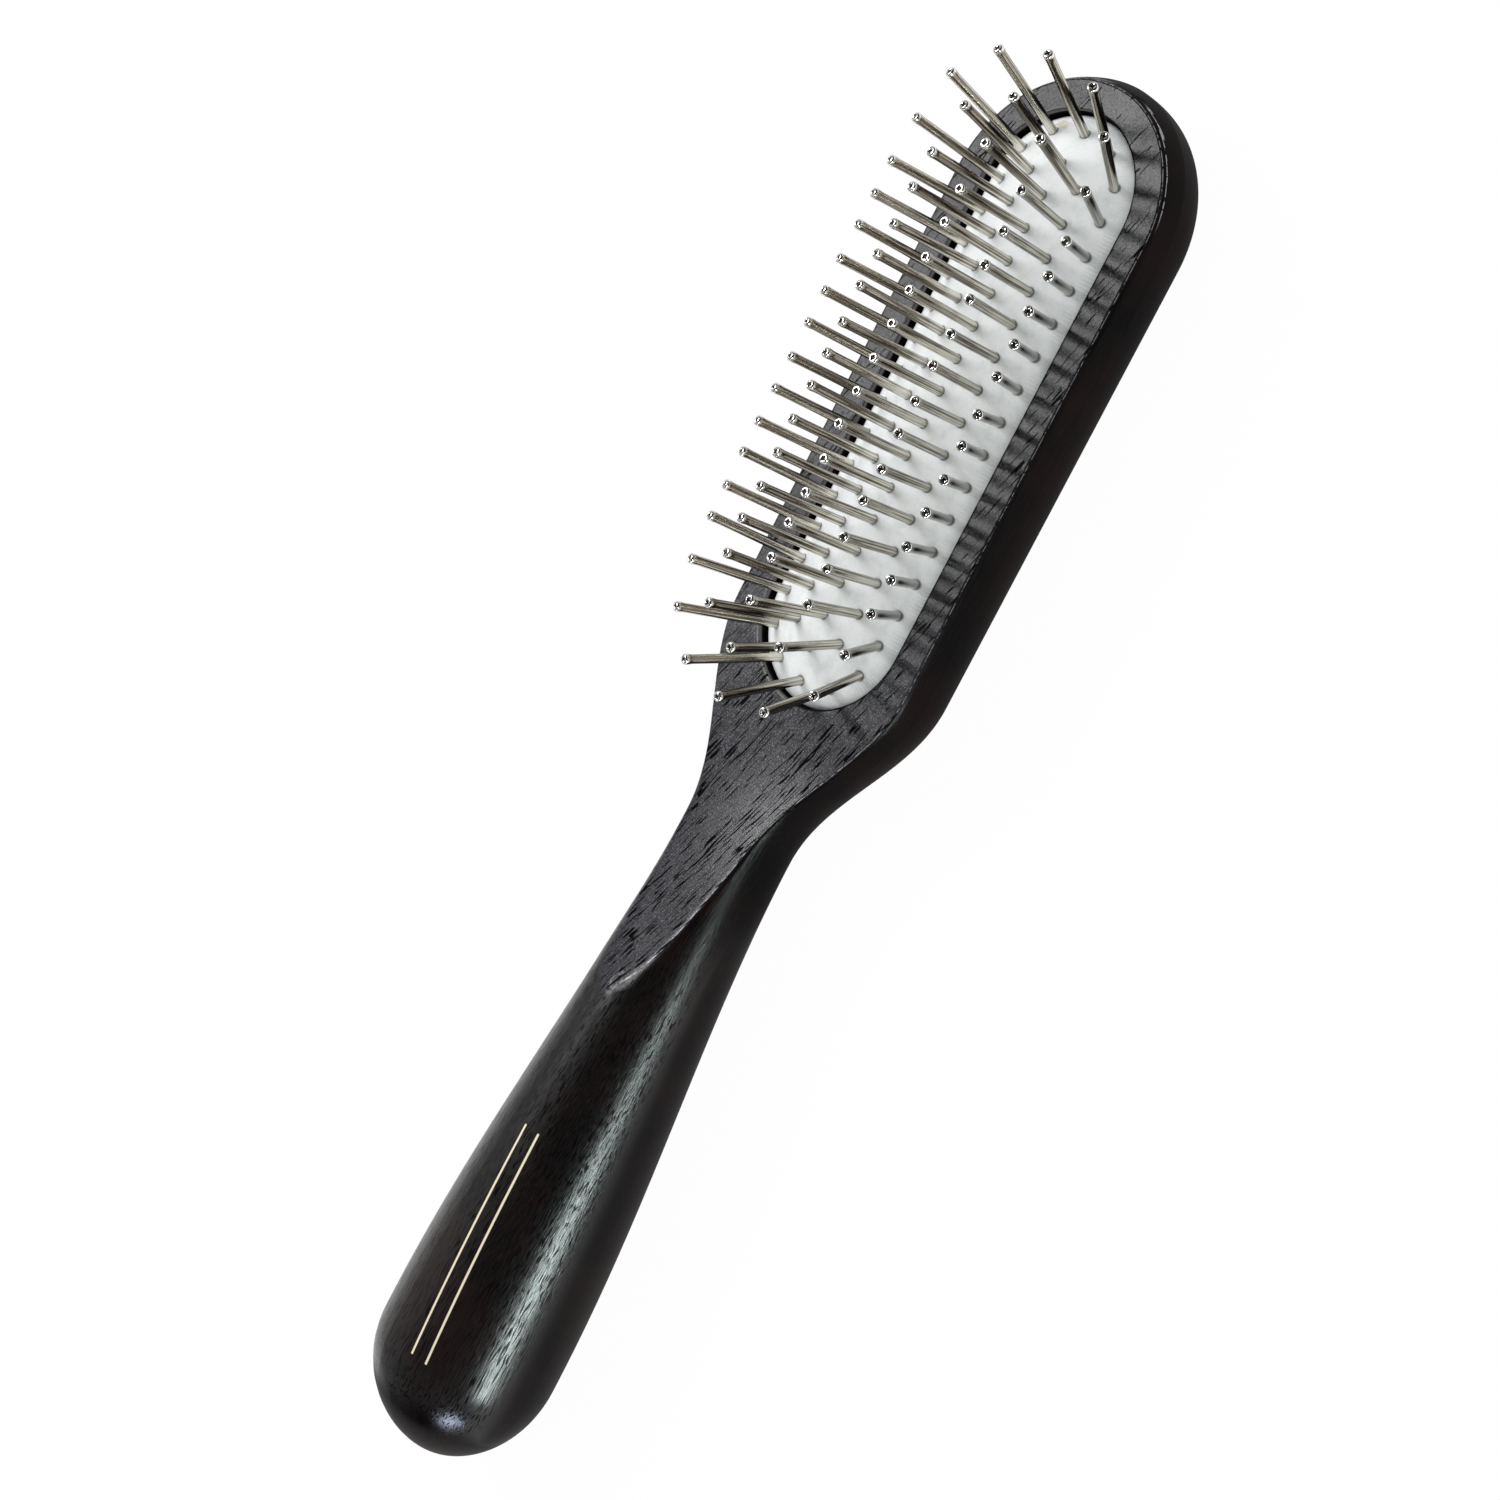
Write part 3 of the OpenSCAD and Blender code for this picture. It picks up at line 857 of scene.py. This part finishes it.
# %% The planed face
GLINT, PORE_AND_SHADE_DARK = (0.20, 0.20, 0.22), (0.0015, 0.0015, 0.002)
FACE_RELIEF = 0.00003  # metres


def planed_face(f, at, wood, tone):
    relief = wood.fibres * 0.6 + wood.specks * 0.5 - wood.pores * 1.2
    bump = f.bump(0.8, FACE_RELIEF, relief)
    matt = f.principled({
        "Base Color": tone, "Roughness": 0.24 - at.calm * 0.09 + (wood.fibres - 0.5) * 0.16,
        "Normal": bump, "Specular IOR Level": 0.27, "IOR": 1.5})
    # The glint's pale colour is a painted glint; its stronger shine is the material's own.
    glint = f.principled({
        "Base Color": GLINT, "Roughness": 0.30,
        "Normal": bump, "Specular IOR Level": 0.5, "IOR": 1.5})
    face = f.lay(wood.specks.step(0.54, 0.70) * (0.46 - at.calm * 0.22), matt, glint)
    # Dark specks, and more of the dark surface over the head's face, most on its left side.
    pores_and_shade = wood.specks.fade(0.36, 0.50) * (0.5 - at.calm * 0.2)
    pores_and_shade = pores_and_shade + at.calm * (0.27 + at.left * 0.13)
    # On the pocket's right lip the dark surface is painted shade.
    pores_and_shade = pores_and_shade.maximum(wood.pores * 0.97).maximum(at.lip * (1 - at.left) * 0.9)
    return f.lay(pores_and_shade, face, f.diffuse(PORE_AND_SHADE_DARK))


# %% [markdown]
# The sides are lacquered over fine streaks that run along the brush. Below, at the neck's
# right side and round the handle's end, a surface of the same colour without any shine is
# laid over the lacquer, so that these parts hardly mirror: painted shade in their
# reflections. On top the lacquer is broken by short ticks, where that surface shows too.

# %% The lacquered sides
NO_SHINE = {"Roughness": 1.0, "Specular IOR Level": 0.0}
SIDE_RELIEF = 0.00004  # metres


def lacquered_sides(f, at, wood, tone, lines):
    smoother_end = at.endward.step(0.12, 0.40) * 0.085
    rubbed = f.principled({
        "Base Color": tone,
        "Roughness": 0.275 - smoother_end + (wood.streaks - 0.5) * 0.2 + lines * 0.2,
        "Normal": f.bump(0.6, SIDE_RELIEF, wood.streaks + wood.coarse * 0.3),
        "Specular IOR Level": 0.45, "IOR": 1.5})
    # Below, at the neck's right side and round the handle's end the shine is taken off: painted
    # shade in the reflections.
    shine_off_as_shade = (at.upward - at.head * 0.26).fade(0.12, 0.42) * (0.72 + at.head * 0.14)
    shine_off_as_shade = shine_off_as_shade.maximum(at.endward.step(0.30, 0.56) * 0.80)
    shine_off_as_shade = shine_off_as_shade.maximum(at.neck * (1 - at.left) * 0.86)
    ticks = wood.ticks * at.upward.step(0.2, 0.45) * (0.85 - at.left * 0.45)
    return f.lay(shine_off_as_shade.maximum(ticks), rubbed, f.principled({"Base Color": tone, **NO_SHINE}))


# %% Finish of the body
def wood_finish():
    f = Finish(bpy.data.materials.new("stained_open_pored_wood"))
    at = body_zones(f)
    wood = wood_noises(f, at.place, at.x)
    lines = printed_lines(at)
    tone = marked(f, at, wood, stained(f, at, wood))
    tone = f.blend(lines * 0.95, tone, LINE_TONE)
    sides = lacquered_sides(f, at, wood, tone, lines)
    return f.close(f.lay(at.planed.step(*ON_FACE), sides, planed_face(f, at, wood, tone)))


stained_wood = wood_finish()
dress(stained_wood, [body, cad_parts["wood_body"]])
print("wood nodes", len(stained_wood.node_tree.nodes))

# %% [markdown]
# ## Cloth-faced rubber
# The pad is white with a cold tint. Close up it shows fine ribs of woven cloth, clearest
# near its edges. A painted shadow rings each pin where it goes in, and soft grey blotches
# over the pad are painted shade. The distances that the mesh stores place the ribs and the
# foot shadows, so the ribs follow the rim and the shadows the pins. One small yellowish
# stain belongs to this brush. Some light passes into the rubber, which softens its
# shadows, so the surface has subsurface scattering.

# %% Finish of the pad
RIB_PITCH, RIB_FROM, RIB_REACH = 0.60, 1.6, 3.4
FOOT_SHADOW_R = (0.74, 0.98)
PATCH_SCALE, MOTTLE_SCALE, FUZZ_SCALE = 210.0, 330.0, 3600.0  # details in a metre
CLOTH_RELIEF = 0.00006  # metres
STAIN_AT, STAIN_HALF = (47.0, 5.2), (0.8, 1.7)
PAD_WHITE, PAD_MOTTLE_SHADE = (0.86, 0.885, 0.885), (0.70, 0.735, 0.725)
PAD_FUZZ, PAD_RIB = (0.62, 0.66, 0.66), (0.52, 0.56, 0.56)
PAD_FOOT_SHADOW, PAD_STAIN = (0.16, 0.16, 0.14), (0.56, 0.50, 0.36)


def pad_stain(f, place):
    """1 in the small oblong stain, about the middle of the pad."""
    where = f.split(place)
    x, y = where[0] * PER_M - pad_x, where[1] * PER_M
    along = (x - STAIN_AT[0]).math("ABSOLUTE").fade(STAIN_HALF[0] * 0.6, STAIN_HALF[0])
    across = (y - STAIN_AT[1]).math("ABSOLUTE").fade(STAIN_HALF[1] * 0.7, STAIN_HALF[1])
    return along * across


def pad_finish():
    f = Finish(bpy.data.materials.new("white_cloth_faced_rubber"))
    place = f.node("ShaderNodeTexCoord")["Object"]
    patches = f.noise(place, PATCH_SCALE, 2.0, 0.55).step(0.40, 0.62)
    mottle = f.noise(place, MOTTLE_SCALE, 3.0, 0.6)
    fuzz = f.noise(place, FUZZ_SCALE, 2.0, 0.6)
    ribs = (f.attribute("rim_run") * (2 * math.pi / RIB_PITCH)).math("SINE")
    ribs = ribs * f.attribute("from_rim").fade(RIB_FROM, RIB_REACH) * patches
    # Soft grey blotches spread at random stand in for the pins' soft shadows: painted shade.
    tone = f.blend(mottle.step(0.45, 0.75) * 0.8, PAD_WHITE, PAD_MOTTLE_SHADE)
    tone = f.blend(fuzz.step(0.45, 0.8) * 0.30, tone, PAD_FUZZ)
    tone = f.blend(ribs.step(0.0, 1.0) * 0.35, tone, PAD_RIB)
    # A painted shadow round each pin's foot.
    tone = f.blend(f.attribute("foot_distance").fade(*FOOT_SHADOW_R) * 0.75, tone, PAD_FOOT_SHADOW)
    tone = f.blend(pad_stain(f, place) * mottle.step(0.3, 0.5) * 0.8, tone, PAD_STAIN)
    return f.close(f.principled({
        "Base Color": tone, "Roughness": 0.7, "Specular IOR Level": 0.25,
        "Normal": f.bump(0.5, CLOTH_RELIEF, ribs * 0.5 + fuzz * 0.8 + mottle * 0.5),
        "Sheen Weight": 0.1, "Sheen Roughness": 0.4, "Subsurface Weight": 0.7,
        "Subsurface Radius": (1.0, 1.0, 0.9), "Subsurface Scale": 0.0012}))


cloth = pad_finish()
dress(cloth, [pad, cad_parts["pad"]])
print("pad nodes", len(cloth.node_tree.nodes))

# %% [markdown]
# ## Drawn and plated steel
# The wire keeps faint lines from the drawing die, which run along each pin. They are too
# fine to model, so they go into the colour, the roughness and a shallow bump; in the colour
# they are made strong, as painted reflection streaks. The plating is duller towards the
# tip. The foot is paler, a painted reflection of the white pad, the brim is bright, a
# painted highlight, and the dimple is dark, painted shade. Where a pin is seen edge-on its
# colour darkens, a painted dark outline.

# %% Finish of the pins
LINES_OF_DRAWING = (3.0, 3.0, 0.03)  # fine across the pin, drawn out along it
WEAR_SCALE, STEEL_RELIEF = 0.25, 0.00005  # details in a millimetre; metres
STEEL_DARK, STEEL_BRIGHT = (0.15, 0.132, 0.105), (0.72, 0.68, 0.59)
STEEL_WORN, STEEL_FOOT_REFLECTION, STEEL_BRIM_HIGHLIGHT = (0.33, 0.27, 0.22), (0.80, 0.79, 0.73), (0.85, 0.83, 0.79)
STEEL_PIT_SHADE, STEEL_EDGE_SHADE = (0.035, 0.03, 0.028), (0.05, 0.045, 0.04)


def steel_finish():
    f = Finish(bpy.data.materials.new("plated_drawn_steel"))
    own = f.attribute("pin_place", "Vector")
    height, in_pit = f.attribute("height"), f.attribute("pit")
    drawing_and_reflection_streaks = f.noise(f.scaled(own, LINES_OF_DRAWING), 1.0, 1.0, 0.5)
    wear = f.noise(own, WEAR_SCALE, 2.0, 0.5)
    edge_on = f.node("ShaderNodeLayerWeight", None, {"Blend": 0.5})["Facing"]
    # Streaks along each pin: drawing lines, made strong in the colour as painted reflection.
    tone = f.blend(drawing_and_reflection_streaks.step(0.40, 0.60), STEEL_DARK, STEEL_BRIGHT)
    tone = f.blend(height.step(5.0, PIN_LEN) * wear.step(0.3, 0.7) * 0.55, tone, STEEL_WORN)
    # The foot is made paler: a painted reflection of the white pad.
    tone = f.blend(height.fade(0.6, 4.5) * 0.3, tone, STEEL_FOOT_REFLECTION)
    # The brim is made bright: a painted highlight.
    on_brim = height.step(PIN_LEN - 0.75, PIN_LEN - 0.55) * (1 - in_pit)
    tone = f.blend(on_brim, tone, STEEL_BRIM_HIGHLIGHT)
    # The dimple is made dark: painted shade.
    tone = f.blend(in_pit, tone, STEEL_PIT_SHADE)
    # Seen edge-on the colour darkens: a painted dark outline.
    tone = f.blend(edge_on.step(0.55, 0.88) * 0.85, tone, STEEL_EDGE_SHADE)
    return f.close(f.principled({
        "Base Color": tone, "Metallic": 1.0, "Roughness": 0.10 + drawing_and_reflection_streaks * 0.08,
        "Normal": f.bump(0.5, STEEL_RELIEF, drawing_and_reflection_streaks)}))


steel_look = steel_finish()
dress(steel_look, steel_rows + [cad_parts[f"pin_row_{row:02d}"] for row in pin_rows])
print("steel nodes", len(steel_look.node_tree.nodes))

# %% [markdown]
# ## Floor and background
# The brush lies on a plain pale floor. For camera rays nearly all of the floor's
# brightness is plain white light, so the picture has a white ground, and the rest is an
# ordinary matt floor, which keeps the soft shadow under the brush. Mirror rays see it at
# about half white, and darker beyond the handle's end, as the photographed steel and
# lacquer show. The world does the same above it, and fills the shadows with a dim light.

# %% Floor
FLOOR_HALF, FLOOR_BELOW = 3000.0, 0.1
WHITE, FLOOR_TONE = (1, 1, 1), (0.86, 0.86, 0.86)
FLOOR_SEEN, FLOOR_MIRRORED, FLOOR_DIMMING = 0.98, 0.5, 0.42
FLOOR_DIMS_OVER = (0.13, 0.24)  # metres from the brush's middle towards the handle's end


def floor_finish():
    f = Finish(bpy.data.materials.new("pale_floor"))
    rays = f.node("ShaderNodeLightPath")
    seen = rays["Is Camera Ray"].maximum(rays["Is Transmission Ray"]) * FLOOR_SEEN
    handle_way = 0 - f.split(f.node("ShaderNodeTexCoord")["Object"])[0]
    mirrored = FLOOR_MIRRORED - handle_way.step(*FLOOR_DIMS_OVER) * FLOOR_DIMMING
    plain = f.node("ShaderNodeEmission", None, {"Color": WHITE, "Strength": 1.0})[0]
    seen = seen.maximum(rays["Is Glossy Ray"] * mirrored)
    return f.close(f.lay(seen, f.diffuse(FLOOR_TONE), plain))


corners = [(sx * FLOOR_HALF, sy * FLOOR_HALF, -FLOOR_BELOW)
           for sx, sy in ((-1, -1), (1, -1), (1, 1), (-1, 1))]
floor = new_piece("floor", corners, [(0, 1, 2, 3)])
floor.data.materials.append(floor_finish())
print("floor ready")

# %% World: white where the background is seen, a dim room for the light that falls
FILL, MIRRORED_LEAST, BACKDROP = 0.74, 0.02, 0.55
LEFT_WALL, HANDLE_WALL = 0.40, 0.20  # brightness of two sides of the room in mirror rays


def room():
    world = bpy.data.worlds.new("room")
    bpy.context.scene.world = world
    f = Finish(world)
    rays = f.node("ShaderNodeLightPath")
    toward = f.split(f.node("ShaderNodeTexCoord")["Generated"])
    left_way, up_way, handle_way = toward[1], toward[2], 0 - toward[0]
    backdrop = up_way.fade(0.0, 0.10) * (1 - handle_way.step(0.4, 0.85) * 0.8) * BACKDROP
    walls = left_way.step(0.0, 0.55) * LEFT_WALL
    walls = walls.maximum(handle_way.step(0.25, 0.8) * up_way.step(0.25, 0.5) * HANDLE_WALL)
    seen = rays["Is Camera Ray"].maximum(rays["Is Transmission Ray"])
    mirrored = rays["Is Glossy Ray"] * (MIRRORED_LEAST + walls).maximum(backdrop)
    falls = 1 - seen.maximum(rays["Is Glossy Ray"])
    strength = seen + mirrored * (1 - seen) + falls * FILL
    sky = f.node("ShaderNodeBackground", None, {"Color": WHITE, "Strength": strength})[0]
    return f.close(sky, "ShaderNodeOutputWorld")


print("world nodes", len(room().node_tree.nodes))

# %% [markdown]
# ## Lamps
# One wide soft box lights the brush from behind and above, as the planed face shows. A low
# narrow one at the near side draws the long highlight down the handle, and a small one
# past the handle's end makes the spot on it. Those two light only reflections: their
# diffuse visibility is off, so a matt colour renders about as it is written.

# %% Lamps
def soft_box(name, place, target, width, height, power, color=WHITE, roll=0):
    """A rectangular lamp that looks at the target; roll turns it about its own axis."""
    data = bpy.data.lights.new(name, "AREA")
    data.shape, data.size, data.size_y = "RECTANGLE", width, height
    data.energy, data.color = power, color
    lamp = bpy.data.objects.new(name, data)
    bpy.context.scene.collection.objects.link(lamp)
    lamp.location = place
    lamp.rotation_mode = "QUATERNION"
    aim = (Vector(target) - Vector(place)).to_track_quat("-Z", "Y")
    lamp.rotation_quaternion = aim @ Matrix.Rotation(math.radians(roll), 4, "Z").to_quaternion()
    return lamp


key = soft_box("key", (0.19, 0.60, 0.81), target=(0.066, 0, 0.02),
               width=0.48, height=0.36, power=6.5)
strip = soft_box("side_strip", (-0.35, -0.85, 0.195), target=(-0.06, 0, 0.02),
                 width=0.42, height=0.11, power=7.0, color=(0.86, 1.0, 0.98), roll=16)
end_spark = soft_box("end_spark", (-0.75, -0.28, 0.10), target=(-0.111, -0.01, 0.024),
                     width=0.22, height=0.14, power=1.7, color=(0.72, 0.80, 1.0))
for lamp in (strip, end_spark):
    lamp.visible_diffuse = False
print("lamps:", [(lamp.name, round(lamp.data.energy, 2)) for lamp in (key, strip, end_spark)])

# %% [markdown]
# ## Camera
# The camera's place, its lens and its turn were found from the photograph by matching the
# regular grid of pins. Its three axes are given in the brush's own frame.

# %% Camera
LENS_MM, SENSOR_MM = 66.18, 36.0
CAMERA_MM = (70.85, -266.03, 353.54)
CAMERA_RIGHT = (0.456124, -0.648127, -0.609822)
CAMERA_DOWN = (-0.877104, -0.443276, -0.184921)
CAMERA_AHEAD = (-0.150467, 0.619224, -0.770663)

camera_data = bpy.data.cameras.new("camera")
camera_data.lens, camera_data.sensor_width = LENS_MM, SENSOR_MM
camera_data.clip_start, camera_data.clip_end = 0.01, 20
camera = bpy.data.objects.new("camera", camera_data)
bpy.context.scene.collection.objects.link(camera)
axes = Matrix((CAMERA_RIGHT, [-v for v in CAMERA_DOWN], [-v for v in CAMERA_AHEAD])).transposed()
camera.matrix_world = Matrix.Translation(Vector(CAMERA_MM) * MM) @ axes.to_4x4()
bpy.context.scene.camera = camera
bpy.context.scene.view_settings.view_transform = "Standard"
print("camera at", [round(v, 1) for v in CAMERA_MM], "mm, lens", LENS_MM, "mm")
